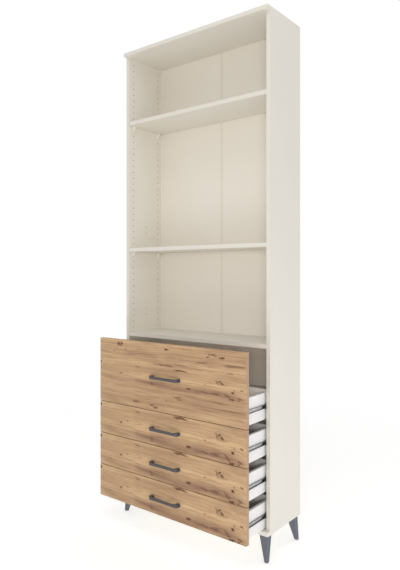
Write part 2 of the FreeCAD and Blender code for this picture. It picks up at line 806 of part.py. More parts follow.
runner, slider, cage, ball = runner_form(), slider_form(), cage_form(), ball_form()
fixing_forms = (cam_form("box_cam_form", "box_cam_depth", "box_board / 2"),
                bar("box_bolt_form", "bolt", "bolt_seat + cam_distance - fixing_play"), handle_screw_form())
nodes += [cabinet_runners(name, hand, runner) for name, hand in hands]
for number, tall in drawers.items():
    nodes += [drawer_front(number, tall), drawer_back(number), drawer_bottom(number)]
    nodes += [drawer_side(number, name, hand) for name, hand in hands]
    nodes += [drawer_handle(number, tall), drawer_fixings(number, tall, fixing_forms)]
    nodes += [drawer_runners(number, slider), ball_cages(number, cage, ball)]

doc.recompute()

# Check every feature, then write the pieces
for item in doc.Objects:
    if "Invalid" in item.State or "Error" in item.State:
        raise RuntimeError(f"{item.Name} failed: {item.State}")
    if item.TypeId == "PartDesign::Pocket" and item.Shape.Volume > item.BaseFeature.Shape.Volume - 0.01:
        raise RuntimeError(f"{item.Name} cuts nothing")
os.makedirs("parts", exist_ok=True)
for node in nodes:
    if node.Shape.isNull() or not node.Shape.isValid():
        raise RuntimeError(f"{node.Label} has no valid shape")
for node in nodes:
    node.Shape.exportStep(f"parts/{node.Label}.step")
print(len(nodes), "nodes written")
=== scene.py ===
import bmesh
import bpy
import json
import math
from mathutils import Matrix, Vector

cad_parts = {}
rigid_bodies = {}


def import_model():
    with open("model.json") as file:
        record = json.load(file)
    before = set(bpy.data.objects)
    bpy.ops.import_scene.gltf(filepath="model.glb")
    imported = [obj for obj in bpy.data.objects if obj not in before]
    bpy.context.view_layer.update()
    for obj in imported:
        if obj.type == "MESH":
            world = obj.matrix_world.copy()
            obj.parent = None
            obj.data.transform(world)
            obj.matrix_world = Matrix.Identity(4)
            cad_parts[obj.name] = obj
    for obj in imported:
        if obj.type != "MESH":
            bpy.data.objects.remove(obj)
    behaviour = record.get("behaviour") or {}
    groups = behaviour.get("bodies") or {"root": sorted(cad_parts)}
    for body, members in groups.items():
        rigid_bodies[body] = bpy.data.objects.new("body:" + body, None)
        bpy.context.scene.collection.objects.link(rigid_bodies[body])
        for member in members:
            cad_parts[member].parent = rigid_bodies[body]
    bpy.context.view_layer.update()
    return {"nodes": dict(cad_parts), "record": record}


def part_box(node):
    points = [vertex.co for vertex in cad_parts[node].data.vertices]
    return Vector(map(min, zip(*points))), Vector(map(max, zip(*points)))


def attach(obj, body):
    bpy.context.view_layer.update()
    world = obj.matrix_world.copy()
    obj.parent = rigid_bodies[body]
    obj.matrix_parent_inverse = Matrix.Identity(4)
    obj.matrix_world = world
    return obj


for leftover in list(bpy.data.objects):     # Blender's own cube, lamp and camera
    bpy.data.objects.remove(leftover)

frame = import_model()
pieces = frame["nodes"]
mm = 0.001
drawerNumbers = (1, 2, 3, 4)
hands = (-1, 1)             # left and right


def linearColour(hexText):
    channels = [int(hexText[start:start + 2], 16) / 255 for start in (1, 3, 5)]
    return [c / 12.92 if c <= 0.04045 else ((c + 0.055) / 1.055) ** 2.4 for c in channels] + [1.0]


def perMetre(size):         # texture scale for a pattern of that size in millimetres
    return 1 / (size * mm)


# Adds a node; a setting names an attribute, a socket or a socket's number, and a link names a socket.
# The sockets of a range: 1 and 2 are from and to, 3 and 4 what comes out at each.
def addNode(tree, kind, settings=None, links=None):
    node = tree.nodes.new("ShaderNode" + kind)
    for key, value in (settings or {}).items():
        if isinstance(key, str) and hasattr(node, key):
            setattr(node, key, value)
        else:
            node.inputs[key].default_value = value
    for key, source in (links or {}).items():
        tree.links.new(source, node.inputs[key])
    return node


def newFinish(name):
    finish = bpy.data.materials.new(name)
    finish.use_nodes = True
    finish.node_tree.nodes.clear()
    return finish, finish.node_tree


# Melamine-faced chipboard: pressed on a pearled plate, so it is matt and even with a faint glint
melamine = {
    "colour": "#E2DDD3", "shade": "#DDD8CD", "cloud": 260, "pearl": 4, "roughness": 0.5,
    "band": "#D2CDC3",                                      # front and back edges: edge band, darker partly in its own tone and partly as painted shade
    "core": "#8F785B", "coreShade": "#6F5A42", "chip": 3,   # raw chips in the holes
}
# Smooth white foil on the boards and bases of the drawers; lacquered fibreboard, a little duller, at the back
whiteFoil = {"colour": "#EAE9E7", "shade": "#E5E4E1", "cloud": 40, "pearl": 3, "roughness": 0.42}
backBoard = {"colour": "#E0DACE", "shade": "#DBD3C6", "cloud": 320, "pearl": 5, "roughness": 0.55}
boards = {
    "relief": 0.12, "depth": 0.15, "gloss": 0.05,           # the pearled plate: strength, mm, swing
    "skin": 0.3,                # depth at which a hole's wall counts as raw, mm
    "bandShadeTurn": {1: 0.4, 2: 0.8},           # how far to the front a face turns to be a banded edge, darkened partly as painted shade
}


def facedBoard(name, look, bores=None):
    finish, tree = newFinish(name)
    place = addNode(tree, "TexCoord")
    spot = place.outputs["Object"]
    cloud = addNode(tree, "TexNoise", {"Scale": perMetre(look["cloud"]), "Detail": 2}, {"Vector": spot})
    tint = addNode(tree, "Mix", {"data_type": "RGBA", 6: linearColour(look["colour"]),
                                 7: linearColour(look["shade"])}, {0: cloud.outputs["Fac"]})
    colour = tint.outputs[2]
    if "band" in look:      # banded edges are a little darker than the faces: partly the band's own tone, partly painted shade
        facing = addNode(tree, "SeparateXYZ", links={0: place.outputs["Normal"]})
        endwise = addNode(tree, "Math", {"operation": "ABSOLUTE"}, {0: facing.outputs[1]})
        banded = addNode(tree, "MapRange", boards["bandShadeTurn"], {0: endwise.outputs[0]})
        colour = addNode(tree, "Mix", {"data_type": "RGBA", 7: linearColour(look["band"])},
                         {0: banded.outputs[0], 6: colour}).outputs[2]
    if bores:               # inside its outer faces a drilled board shows its raw chips
        low, high = bores
        half = (high - low) / 2 - Vector((1, 1, 1)) * boards["skin"] * mm
        middle = (high + low) / 2
        scales = [1 / reach for reach in half]
        offsets = [-m / reach for m, reach in zip(middle, half)]
        within = addNode(tree, "Mapping", {"Scale": scales, "Location": offsets}, {"Vector": spot})
        away = addNode(tree, "VectorMath", {"operation": "ABSOLUTE"}, {0: within.outputs[0]})
        axes = addNode(tree, "SeparateXYZ", links={0: away.outputs[0]})
        widest = addNode(tree, "Math", {"operation": "MAXIMUM"}, {0: axes.outputs[0], 1: axes.outputs[1]})
        farthest = addNode(tree, "Math", {"operation": "MAXIMUM"},
                           {0: widest.outputs[0], 1: axes.outputs[2]})
        inside = addNode(tree, "Math", {"operation": "LESS_THAN", 1: 1.0}, {0: farthest.outputs[0]})
        chips = addNode(tree, "TexNoise", {"Scale": perMetre(look["chip"])}, {"Vector": spot})
        raw = addNode(tree, "Mix", {"data_type": "RGBA", 6: linearColour(look["core"]),
                                    7: linearColour(look["coreShade"])}, {0: chips.outputs["Fac"]})
        colour = addNode(tree, "Mix", {"data_type": "RGBA"},
                         {0: inside.outputs[0], 6: colour, 7: raw.outputs[2]}).outputs[2]
    pearl = addNode(tree, "TexNoise", {"Scale": perMetre(look["pearl"]), "Detail": 3},
                    {"Vector": spot}).outputs["Fac"]        # finer on the real board
    relief = addNode(tree, "Bump", {"Strength": boards["relief"], "Distance": boards["depth"] * mm},
                     {"Height": pearl})
    shine = addNode(tree, "MapRange", {3: look["roughness"] - boards["gloss"],
                                       4: look["roughness"] + boards["gloss"]}, {0: pearl})
    shader = addNode(tree, "BsdfPrincipled", {"IOR": 1.48},
                     {"Base Color": colour, "Roughness": shine.outputs[0], "Normal": relief.outputs[0]})
    addNode(tree, "OutputMaterial", links={"Surface": shader.outputs[0]})
    return finish


# Oak decor paper under resin: level grain that flows round small dark knots, pressed with pores
oak = {
    "light": "#C5A57E", "base": "#B69671", "brown": "#A07F61", "pores": "#7D5F42", "edge": "#AF9279",
    "rear": "#E8BC88",          # balancing paper on the back of a front, with little of the figure
    "cloud": "#C6BBC2", "knot": "#7A5230",      # these two darken the rest like a stain
    "band": (640, 26, 3, 0.55),     # broad tones: length and height in mm, then detail and roughness
    "grain": (210, 6, 6, 0.62),     # streaks
    "fibre": (70, 3.8, 5, 0.55),    # pores and fibres, coarser than the real ones, which would not show
    "wave": (330, 70), "waveReach": 9,      # the grain wanders: length, height and how far, mm
    "fray": (48, 16),           # length and height of the frayed outlines of the marks
    "frayReach": (18, 6),       # and how far they stray along and up
    "reach": 450,               # the decor's half length, which the marks are counted over
    "smallStretch": 1.6,        # the decor is drawn taller on the low fronts
    "brownAt": 0.3, "baseAt": 0.48, "lightAt": 0.68,        # where each tone stands in the broad tones
    # Ranges: from and to in the noise or in the turn of a face, and the strength at each
    "streak": {1: 0.38, 2: 0.54, 3: 0.75, 4: 0.0}, "pore": {1: 0.54, 2: 0.68, 3: 0.0, 4: 0.5},
    "patch": {1: 0.3, 2: 0.7, 3: 1.25, 4: 0.55},            # clouds are uneven along the grain
    "narrow": {1: 0.3, 2: 0.7, 3: 0.75, 4: 0.0}, "behind": {1: 0.3, 2: 0.7, 3: 0.0, 4: 0.85},
    "relief": 0.25, "depth": 0.3, "roughness": {3: 0.54, 4: 0.4},
}

# Knots and streaks, mm from the middle of a front: across, up, half length, half height, then darkness
oakKnots = (
    (-310, 140, 10, 7, 0.85), (-290, 141, 10, 6, 0.95), (-300, 133, 16, 5, 0.6), (-262, 115, 11, 4, 0.4),
    (-339, 101, 10, 5, 0.5), (8, 135, 16, 6, 1.0), (-437, 37, 10, 6, 1.0), (-293, -5, 12, 4, 0.65),
    (-249, 3, 8, 3.5, 0.65), (-177, 37, 20, 4, 0.45), (-3, 61, 76, 5, 0.6), (97, 70, 50, 3, 0.5),
    (92, 44, 54, 4, 0.85), (-88, -35, 15, 6, 0.45), (-190, -130, 24, 6, 0.55), (-88, -134, 17, 6, 0.6),
    (-64, -143, 16, 6, 0.75), (2, -103, 10, 4, 0.5), (243, 122, 11, 4.5, 0.85), (255, 133, 11, 4, 0.7),
    (277, 133, 13, 4, 0.9), (325, 125, 13, 5, 0.95), (207, 92, 36, 5, 0.45), (388, 94, 62, 7, 0.3),
    (363, 61, 20, 4, 0.5), (296, 18, 8, 5, 0.8), (309, 22.5, 10, 4.5, 0.95), (321, 14.5, 8, 5.5, 0.85),
    (336, 10, 16, 4, 0.35), (228, -1, 7, 3.5, 0.8), (135, -30, 18, 5, 0.9), (376, -15.5, 11, 4.5, 1.0),
    (384, -7, 6, 3, 0.75), (422, -2, 7, 3.5, 0.8), (366, -46, 19, 4, 0.75), (336, -29, 12, 3.5, 0.45),
    (354, -39, 11, 3.5, 0.55), (378, -47, 8, 4.5, 0.95), (408, -36.5, 7, 4, 0.7), (417, -39, 7, 3.5, 0.65),
    (390, -45, 6, 3.5, 0.6), (403, -46.5, 8, 3.5, 0.65), (69, -77, 26, 5, 0.55), (82, -87, 24, 4, 0.5),
    (280, -32, 36, 6, 0.5), (222, -33, 28, 5, 0.4), (-120, -112, 30, 3, 0.3), (150, -62, 40, 3, 0.3),
    (310, -70, 60, 3, 0.35), (360, -96, 70, 3, 0.35), (250, -110, 60, 3, 0.3), (395, -128, 50, 3, 0.3),
    (289, 23, 7, 4, 0.65), (308, 16, 24, 11, 0.3), (287, 127, 8, 3.5, 0.7), (308, 124, 9, 4.5, 0.85),
    (345, -34, 11, 3.5, 0.5), (412, -45, 6, 3.5, 0.55),
)

# Broad pinkish brown clouds, in the same order
oakClouds = (
    (-155, 97, 170, 18, 0.9), (130, 94, 240, 16, 0.8), (390, 94, 100, 14, 0.65), (-410, 94, 60, 10, 0.5),
    (-80, -35, 190, 23, 1.0), (-310, -34, 190, 18, 0.6), (280, -34, 230, 24, 1.0), (90, -38, 120, 20, 0.8),
    (-300, -67, 80, 9, 0.5), (112, -65, 70, 8, 0.55), (280, -96, 240, 7, 0.5), (330, -118, 90, 10, 0.5),
    (-200, -116, 110, 11, 0.5), (-360, -131, 70, 14, 0.5), (0, 64, 130, 16, 0.6), (220, 62, 300, 8, 0.5),
    (300, -92, 330, 70, 0.55), (360, 140, 220, 34, 0.5), (60, 117, 240, 26, 0.4), (390, 40, 160, 30, 0.3),
    (-350, -140, 120, 20, 0.35), (-60, -146, 160, 10, 0.35), (-40, 112, 440, 50, 0.35),
    (-120, -104, 380, 52, 0.35), (-80, -136, 45, 14, 0.6), (395, -40, 60, 14, 0.6),
)

marks = {
    "perRow": 7,                # a ramp has room for no more
    "unit": 100,                # thickness that a full green stands for, mm
    "ends": 0.001,              # share of the ramp that stays free at each end
    "full": 0.4,                # share of a mark's half length that is fully dark
    "rim": 1.1, "halo": 3.5,    # where a mark ends and where its push on the grain ends, in half heights
    "knotHeart": 0.4, "cloudHeart": 0.0,        # share of the half height that is fully dark
}


def oakDecor():
    finish, tree = newFinish("oakDecor")
    place = addNode(tree, "TexCoord")
    decor = addNode(tree, "Mapping", {"name": "decorPlace"}, {"Vector": place.outputs["Object"]}).outputs[0]

    # Outlines of the marks are frayed along the grain
    frayLength, frayHeight = oak["fray"]
    along, upward = oak["frayReach"]
    fraySpace = addNode(tree, "Mapping", {"Scale": (perMetre(frayLength), 0, perMetre(frayHeight))},
                        {"Vector": decor})
    fray = addNode(tree, "TexNoise", {"Scale": 1, "Detail": 3}, {"Vector": fraySpace.outputs[0]})
    frayed = addNode(tree, "MapRange", {"data_type": "FLOAT_VECTOR", 9: (-along * mm, 0, -upward * mm),
                                        10: (along * mm, 0, upward * mm)}, {6: fray.outputs["Color"]})
    strayed = addNode(tree, "VectorMath", {"operation": "ADD"}, {0: decor, 1: frayed.outputs[1]})
    axes = addNode(tree, "SeparateXYZ", links={0: strayed.outputs[0]})
    reach = oak["reach"] * mm
    across = addNode(tree, "MapRange", {1: -reach, 2: reach}, {0: axes.outputs[0]}).outputs[0]
    up = axes.outputs[2]

    # Marks that stand side by side share one ramp: its red holds their height, green their thickness and
    # blue their darkness along the front
    def markField(spots, heart, parting):
        rows = []
        for spot in sorted(spots):
            start = spot[0] - spot[2]
            row = next((row for row in rows
                        if row[-1][0] + row[-1][2] <= start and len(row) < marks["perRow"]), None)
            if row is None:
                rows.append([spot])
            else:
                row.append(spot)
        falling = {"interpolation_type": "SMOOTHSTEP", 3: 1.0, 4: 0.0}
        darkest, shift = None, None
        for row in rows:
            ramp = addNode(tree, "ValToRGB", links={0: across})
            stops = ramp.color_ramp.elements
            stops[0].color = stops[1].color = (0.5, 0.5, 0, 1)      # no mark at the ends
            for middle, height, halfLength, halfHeight, darkness in row:
                for step, depth in ((-1, 0), (-marks["full"], darkness), (marks["full"], darkness), (1, 0)):
                    share = (middle + step * halfLength) / oak["reach"] / 2 + 0.5
                    stop = stops.new(min(max(share, marks["ends"]), 1 - marks["ends"]))
                    stop.color = (height / oak["reach"] + 0.5, halfHeight / marks["unit"], depth, 1)
            held = addNode(tree, "SeparateColor", links={0: ramp.outputs[0]})
            dark = held.outputs[2]
            centre = addNode(tree, "MapRange", {3: -reach / 2, 4: reach / 2}, {0: held.outputs[0]})
            off = addNode(tree, "Math", {"operation": "SUBTRACT"}, {0: up, 1: centre.outputs[0]})
            thick = addNode(tree, "Math", {"operation": "MULTIPLY", 1: marks["unit"] * mm},
                            {0: held.outputs[1]})
            ratio = addNode(tree, "Math", {"operation": "DIVIDE"}, {0: off.outputs[0], 1: thick.outputs[0]})
            away = addNode(tree, "Math", {"operation": "ABSOLUTE"}, {0: ratio.outputs[0]})
            oval = addNode(tree, "MapRange", {**falling, 1: heart, 2: marks["rim"]}, {0: away.outputs[0]})
            mark = addNode(tree, "Math", {"operation": "MULTIPLY"}, {0: oval.outputs[0], 1: dark})
            if darkest:
                mark = addNode(tree, "Math", {"operation": "MAXIMUM"}, {0: darkest, 1: mark.outputs[0]})
            darkest = mark.outputs[0]
            if parting:         # the grain parts at the mark
                halo = addNode(tree, "MapRange", {**falling, 1: 0.0, 2: marks["halo"]}, {0: away.outputs[0]})
                near = addNode(tree, "Math", {"operation": "MULTIPLY"}, {0: halo.outputs[0], 1: dark})
                push = addNode(tree, "Math", {"operation": "MULTIPLY"},
                               {0: near.outputs[0], 1: off.outputs[0]})
                if shift:
                    push = addNode(tree, "Math", {"operation": "ADD"}, {0: shift, 1: push.outputs[0]})
                shift = push.outputs[0]
        return darkest, shift

    knotDark, knotShift = markField(oakKnots, marks["knotHeart"], True)
    cloudDark = markField(oakClouds, marks["cloudHeart"], False)[0]

    # Level grain that wanders and parts at the knots
    waveLength, waveHeight = oak["wave"]
    waveSpace = addNode(tree, "Mapping", {"Scale": (perMetre(waveLength), 1, perMetre(waveHeight))},
                        {"Vector": decor})
    wave = addNode(tree, "TexNoise", {"Scale": 1, "Detail": 2}, {"Vector": waveSpace.outputs[0]})
    wander = addNode(tree, "MapRange", {3: -oak["waveReach"] * mm, 4: oak["waveReach"] * mm},
                     {0: wave.outputs["Fac"]})
    lift = addNode(tree, "Math", {"operation": "SUBTRACT"}, {0: wander.outputs[0], 1: knotShift})
    upwards = addNode(tree, "CombineXYZ", links={2: lift.outputs[0]})
    flow = addNode(tree, "VectorMath", {"operation": "ADD"}, {0: decor, 1: upwards.outputs[0]}).outputs[0]

    def streaks(source, look):
        length, height, detail, roughness = look
        space = addNode(tree, "Mapping", {"Scale": (perMetre(length), perMetre(length), perMetre(height))},
                        {"Vector": source})
        return addNode(tree, "TexNoise", {"Scale": 1, "Detail": detail, "Roughness": roughness},
                       {"Vector": space.outputs[0]}).outputs["Fac"]

    band = streaks(flow, oak["band"])
    grain = streaks(flow, oak["grain"])
    fibre = streaks(decor, oak["fibre"])    # pressed into every board alike, apart from the print

    tone = addNode(tree, "ValToRGB", links={0: band})
    stops = tone.color_ramp.elements
    stops[0].position = oak["brownAt"]
    stops[0].color = linearColour(oak["brown"])
    stops[1].position = oak["lightAt"]
    stops[1].color = linearColour(oak["light"])
    stops.new(oak["baseAt"]).color = linearColour(oak["base"])
    streak = addNode(tree, "MapRange", oak["streak"], {0: grain})
    streaked = addNode(tree, "Mix", {"data_type": "RGBA", 7: linearColour(oak["brown"])},
                       {0: streak.outputs[0], 6: tone.outputs[0]})
    patchy = addNode(tree, "MapRange", oak["patch"], {0: grain})
    cloudy = addNode(tree, "Math", {"operation": "MULTIPLY"}, {0: cloudDark, 1: patchy.outputs[0]})
    stain = {"data_type": "RGBA", "blend_type": "MULTIPLY"}
    clouded = addNode(tree, "Mix", {**stain, 7: linearColour(oak["cloud"])},
                      {0: cloudy.outputs[0], 6: streaked.outputs[2]})
    poreDark = addNode(tree, "MapRange", oak["pore"], {0: fibre})
    pored = addNode(tree, "Mix", {"data_type": "RGBA", 7: linearColour(oak["pores"])},
                    {0: poreDark.outputs[0], 6: clouded.outputs[2]})
    knotted = addNode(tree, "Mix", {**stain, 7: linearColour(oak["knot"])},
                      {0: knotDark, 6: pored.outputs[2]})

    # Edge band on the narrow faces, paler and plainer than the decor, and paper behind
    facing = addNode(tree, "SeparateXYZ", links={0: place.outputs["Normal"]})
    broad = addNode(tree, "Math", {"operation": "ABSOLUTE"}, {0: facing.outputs[1]})
    narrow = addNode(tree, "MapRange", oak["narrow"], {0: broad.outputs[0]})
    banded = addNode(tree, "Mix", {"data_type": "RGBA", 7: linearColour(oak["edge"])},
                     {0: narrow.outputs[0], 6: knotted.outputs[2]})
    behind = addNode(tree, "MapRange", oak["behind"], {0: facing.outputs[1]})
    backed = addNode(tree, "Mix", {"data_type": "RGBA", 7: linearColour(oak["rear"])},
                     {0: behind.outputs[0], 6: banded.outputs[2]})

    relief = addNode(tree, "Bump", {"Strength": oak["relief"], "Distance": oak["depth"] * mm,
                                    "invert": True}, {"Height": fibre})
    shine = addNode(tree, "MapRange", oak["roughness"], {0: grain})
    shader = addNode(tree, "BsdfPrincipled", {"IOR": 1.48, "Specular IOR Level": 0.3},
                     {"Base Color": backed.outputs[2], "Roughness": shine.outputs[0],
                      "Normal": relief.outputs[0]})
    addNode(tree, "OutputMaterial", links={"Surface": shader.outputs[0]})
    return finish


# The same decor on each front, counted from the front's middle
def decorOfFront(decor, number):
    low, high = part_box(f"drawer_{number}_front")
    stretch = 1 if number == 1 else oak["smallStretch"]
    finish = decor.copy()
    finish.name = f"oakDecor{number}"
    placing = finish.node_tree.nodes["decorPlace"]
    placing.inputs["Scale"].default_value = (1, 1, 1 / stretch)
    placing.inputs["Location"].default_value = (0, 0, -(low.z + high.z) / 2 / stretch)
    return finish


# Zinc-plated strip steel: cold rolled, so the shine is drawn out along the strip; its level faces carry painted
# shade
zinc = {
    # The third colour is painted shade for the level faces, the flanges of a runner's channel
    "colour": "#C2C3C5", "shade": "#A8A9AC", "flangeShade": "#5E6063",
    "roll": (1.2, 90),          # width and length of the rolling lines, mm, coarser than the real ones
    "levelTurn": {1: 0.4, 2: 0.8},          # painted shade lies on level faces
    "relief": 0.1, "depth": 0.05, "roughness": {3: 0.26, 4: 0.44},
}


def zincSteel(name, flangeShading):
    finish, tree = newFinish(name)
    place = addNode(tree, "TexCoord")
    fine, along = zinc["roll"]
    rolled = addNode(tree, "Mapping", {"Scale": (perMetre(fine), perMetre(along), perMetre(fine))},
                     {"Vector": place.outputs["Object"]})
    lines = addNode(tree, "TexNoise", {"Scale": 1, "Detail": 3}, {"Vector": rolled.outputs[0]}).outputs["Fac"]
    tint = addNode(tree, "Mix", {"data_type": "RGBA", 6: linearColour(zinc["shade"]),
                                 7: linearColour(zinc["colour"])}, {0: lines})
    facing = addNode(tree, "SeparateXYZ", links={0: place.outputs["Normal"]})
    level = addNode(tree, "Math", {"operation": "ABSOLUTE"}, {0: facing.outputs[2]})
    # Painted shade: the level faces, the flanges of the runners' channel, take the darker colour
    levelShade = addNode(tree, "MapRange", {**zinc["levelTurn"], 4: flangeShading}, {0: level.outputs[0]})
    colour = addNode(tree, "Mix", {"data_type": "RGBA", 7: linearColour(zinc["flangeShade"])},
                     {0: levelShade.outputs[0], 6: tint.outputs[2]})
    shine = addNode(tree, "MapRange", zinc["roughness"], {0: lines})
    relief = addNode(tree, "Bump", {"Strength": zinc["relief"], "Distance": zinc["depth"] * mm},
                     {"Height": lines})
    shader = addNode(tree, "BsdfPrincipled", {"Metallic": 1.0},
                     {"Base Color": colour.outputs[2], "Roughness": shine.outputs[0],
                      "Normal": relief.outputs[0]})
    addNode(tree, "OutputMaterial", links={"Surface": shader.outputs[0]})
    return finish


# Moulded or coated surfaces: one colour broken by a fine grit that also shows in the gloss
coats = {                       # colour, shade, grit in mm (coarser than the real one), roughness, relief
    "powderAnthracite": ("#494649", "#3C393C", 2.2, 0.38, 0.12),    # sprayed and baked: satin, a little pebbled
    "polypropyleneGrey": ("#5D6068", "#535760", 3, 0.5, 0.15),      # from an etched mould: dull, fine grained
    "polystyreneWhite": ("#ECE8DF", "#E2DCD0", 3, 0.4, 0.05),       # from a smooth mould: satin
    "polystyreneBeige": ("#D9D2C5", "#D4CCBF", 3, 0.45, 0.05),      # extruded: smooth and half dull
    "acetalBlack": ("#0C0C0D", "#141415", 2, 0.5, 0.08),            # moulded: dull and waxy
}
coatGrit = {"depth": 0.1, "gloss": 0.06}        # mm, swing of the roughness


def coatedSurface(name):
    colour, shade, size, roughness, strength = coats[name]
    finish, tree = newFinish(name)
    place = addNode(tree, "TexCoord")
    grit = addNode(tree, "TexNoise", {"Scale": perMetre(size), "Detail": 3},
                   {"Vector": place.outputs["Object"]}).outputs["Fac"]
    tint = addNode(tree, "Mix", {"data_type": "RGBA", 6: linearColour(colour), 7: linearColour(shade)},
                   {0: grit})
    relief = addNode(tree, "Bump", {"Strength": strength, "Distance": coatGrit["depth"] * mm},
                     {"Height": grit})
    shine = addNode(tree, "MapRange", {3: roughness - coatGrit["gloss"], 4: roughness + coatGrit["gloss"]},
                    {0: grit})
    shader = addNode(tree, "BsdfPrincipled", {"IOR": 1.5},
                     {"Base Color": tint.outputs[2], "Roughness": shine.outputs[0],
                      "Normal": relief.outputs[0]})
    addNode(tree, "OutputMaterial", links={"Surface": shader.outputs[0]})
    return finish


finishes = {
    "carcass_board": facedBoard("melamineCashmere", melamine),
    "back_board": facedBoard("lacqueredFibreboard", backBoard),
    "drawer_board": facedBoard("foiledBoardWhite", whiteFoil),
    "drawer_base": facedBoard("fibreboardWhite", whiteFoil),
    "handle_metal": coatedSurface("powderAnthracite"),
    "leg_plastic": coatedSurface("polypropyleneGrey"),
    "support_plastic": coatedSurface("polystyreneWhite"),
    "joiner_plastic": coatedSurface("polystyreneBeige"),
    "cage_plastic": coatedSurface("acetalBlack"),
    # The runners get painted shade on their level faces; the screws get none
    "runner_steel": zincSteel("zincPlatedStrip", flangeShading=0.8),
    "fixing_steel": zincSteel("zincPlatedScrew", flangeShading=0.0),
}
oakBase = oakDecor()
slotOf = {part["node"]: part["material_slot"] for part in frame["record"]["subparts"]}
for name, piece in pieces.items():
    slot = slotOf[name]
    if slot == "oak_front":
        finish = decorOfFront(oakBase, int(name.split("_")[1]))
    elif name in ("left_side", "right_side"):
        finish = facedBoard("melamineDrilled_" + name, melamine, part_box(name))
    else:
        finish = finishes[slot]
    for place in piece.material_slots:
        place.material = finish
print("finishes:", len(bpy.data.materials))

# Softened edges: radius in millimetres and steps. The first word that is in a piece's name counts.
softEdges = {"leg": (3.5, 4), "handle": (1.6, 3), "shelf": (0.5, 2), "panel": (0.5, 2), "front": (0.6, 2),
             "bottom": (0.4, 1), "back": (0.4, 1)}
sharpPieces = ("back_joiner", "leg_studs")
edgeRules = {"weld": 0.01, "flat": 0.3, "corner": 40}       # mm, degrees, degrees
for name, piece in pieces.items():
    kind = next((word for word in softEdges if word in name.split("_")), None)
    if kind is None or name in sharpPieces:
        continue
    radius, steps = softEdges[kind]
    weld = piece.modifiers.new("weld", "WELD")
    weld.merge_threshold = edgeRules["weld"] * mm
    flat = piece.modifiers.new("wholeFaces", "DECIMATE")      # the CAD's triangles back to whole faces
    flat.decimate_type = "DISSOLVE"
    flat.angle_limit = math.radians(edgeRules["flat"])
    edge = piece.modifiers.new("softEdge", "BEVEL")
    edge.width = radius * mm
    edge.segments = steps
    edge.limit_method = "ANGLE"
    edge.angle_limit = math.radians(edgeRules["corner"])
    edge.use_clamp_overlap = False
    normals = piece.modifiers.new("normals", "WEIGHTED_NORMAL")
    normals.keep_sharp = False
print("edges softened")

# Screw heads and cam faces: turned steel with a pressed cross. They cap the plain bars of the CAD.
heads = {                   # radius, rise, reach and width of the cross, depth of the cross, mm
    "capScrew": (6.2, 0.7, 3.2, 1.7, 0.6),
    "cam": (8.5, 0.6, 4.4, 2.0, 0.5),
    "panScrew": (5.0, 2.9, 2.9, 1.3, 1.6),
    "runnerScrew": (4.1, 1.8, 2.4, 1.1, 1.0),
    "flushScrew": (4.0, 0.35, 2.3, 1.1, 0.3),
    "backScrew": (3.6, 1.4, 2.1, 1.0, 0.8),
}
headForm = {
    "steps": 20,
    "profile": ((1.0, 0.0), (1.0, 0.45), (0.93, 0.72), (0.78, 0.93), (0.62, 1.0)),      # of radius and rise
    "taper": 0.8,           # the cross narrows towards its floor
    "corner": 35,           # degrees, smooth below
}


def addHead(mesh, kind, spot, direction):
    radius, rise, crossReach, crossWidth, crossDepth = (size * mm for size in heads[kind])
    stand = Vector((0, 0, 1)).rotation_difference(Vector(direction)).to_matrix().to_4x4()
    stand = Matrix.Translation(Vector(spot) * mm) @ stand

    def ring(points, level):
        return [mesh.verts.new(stand @ Vector((x, y, level))) for x, y in points]

    def wall(lower, upper):
        for n in range(len(lower)):
            mesh.faces.new((lower[n - 1], lower[n], upper[n], upper[n - 1]))

    turns = [2 * math.pi * n / headForm["steps"] for n in range(headForm["steps"])]
    rings = []
    for reach, level in headForm["profile"]:
        circle = [(radius * reach * math.cos(turn), radius * reach * math.sin(turn)) for turn in turns]
        rings.append(ring(circle, rise * level))
    for lower, upper in zip(rings, rings[1:]):
        wall(lower, upper)
    mesh.faces.new(rings[0][::-1])

    # The cross runs round its twelve corners; the head's top meets it corner by corner
    half = crossWidth / 2
    arm = [(crossReach, -half), (crossReach, half), (half, half)]
    cross = [(x * math.cos(q) - y * math.sin(q), x * math.sin(q) + y * math.cos(q))
             for q in (0, math.pi / 2, math.pi, 3 * math.pi / 2) for x, y in arm]
    rim = ring(cross, rise)
    floor = ring([(x * headForm["taper"], y * headForm["taper"]) for x, y in cross], rise - crossDepth)
    edges = [mesh.edges.new((rim[n - 1], rim[n])) for n in range(len(rim))]
    edges += [mesh.edges.get((rings[-1][n - 1], rings[-1][n])) for n in range(headForm["steps"])]
    bmesh.ops.bridge_loops(mesh, edges=edges)
    wall(floor, rim)
    mesh.faces.new(floor)


def headSet(name, body, spots):
    mesh = bmesh.new()
    for kind, spot, direction in spots:
        addHead(mesh, kind, spot, direction)
    bmesh.ops.recalc_face_normals(mesh, faces=mesh.faces)
    data = bpy.data.meshes.new(name)
    mesh.to_mesh(data)
    mesh.free()
    piece = bpy.data.objects.new(name, data)
    bpy.context.scene.collection.objects.link(piece)
    data.materials.append(finishes["fixing_steel"])
    for face in data.polygons:
        face.use_smooth = len(face.vertices) == 4       # the walls round the head
    data.set_sharp_from_angle(angle=math.radians(headForm["corner"]))
    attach(piece, body)


# Places of the heads in millimetres, most of them counted from the faces of the CAD pieces they sit on
def boxOf(name):
    low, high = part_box(name)
    return low / mm, high / mm


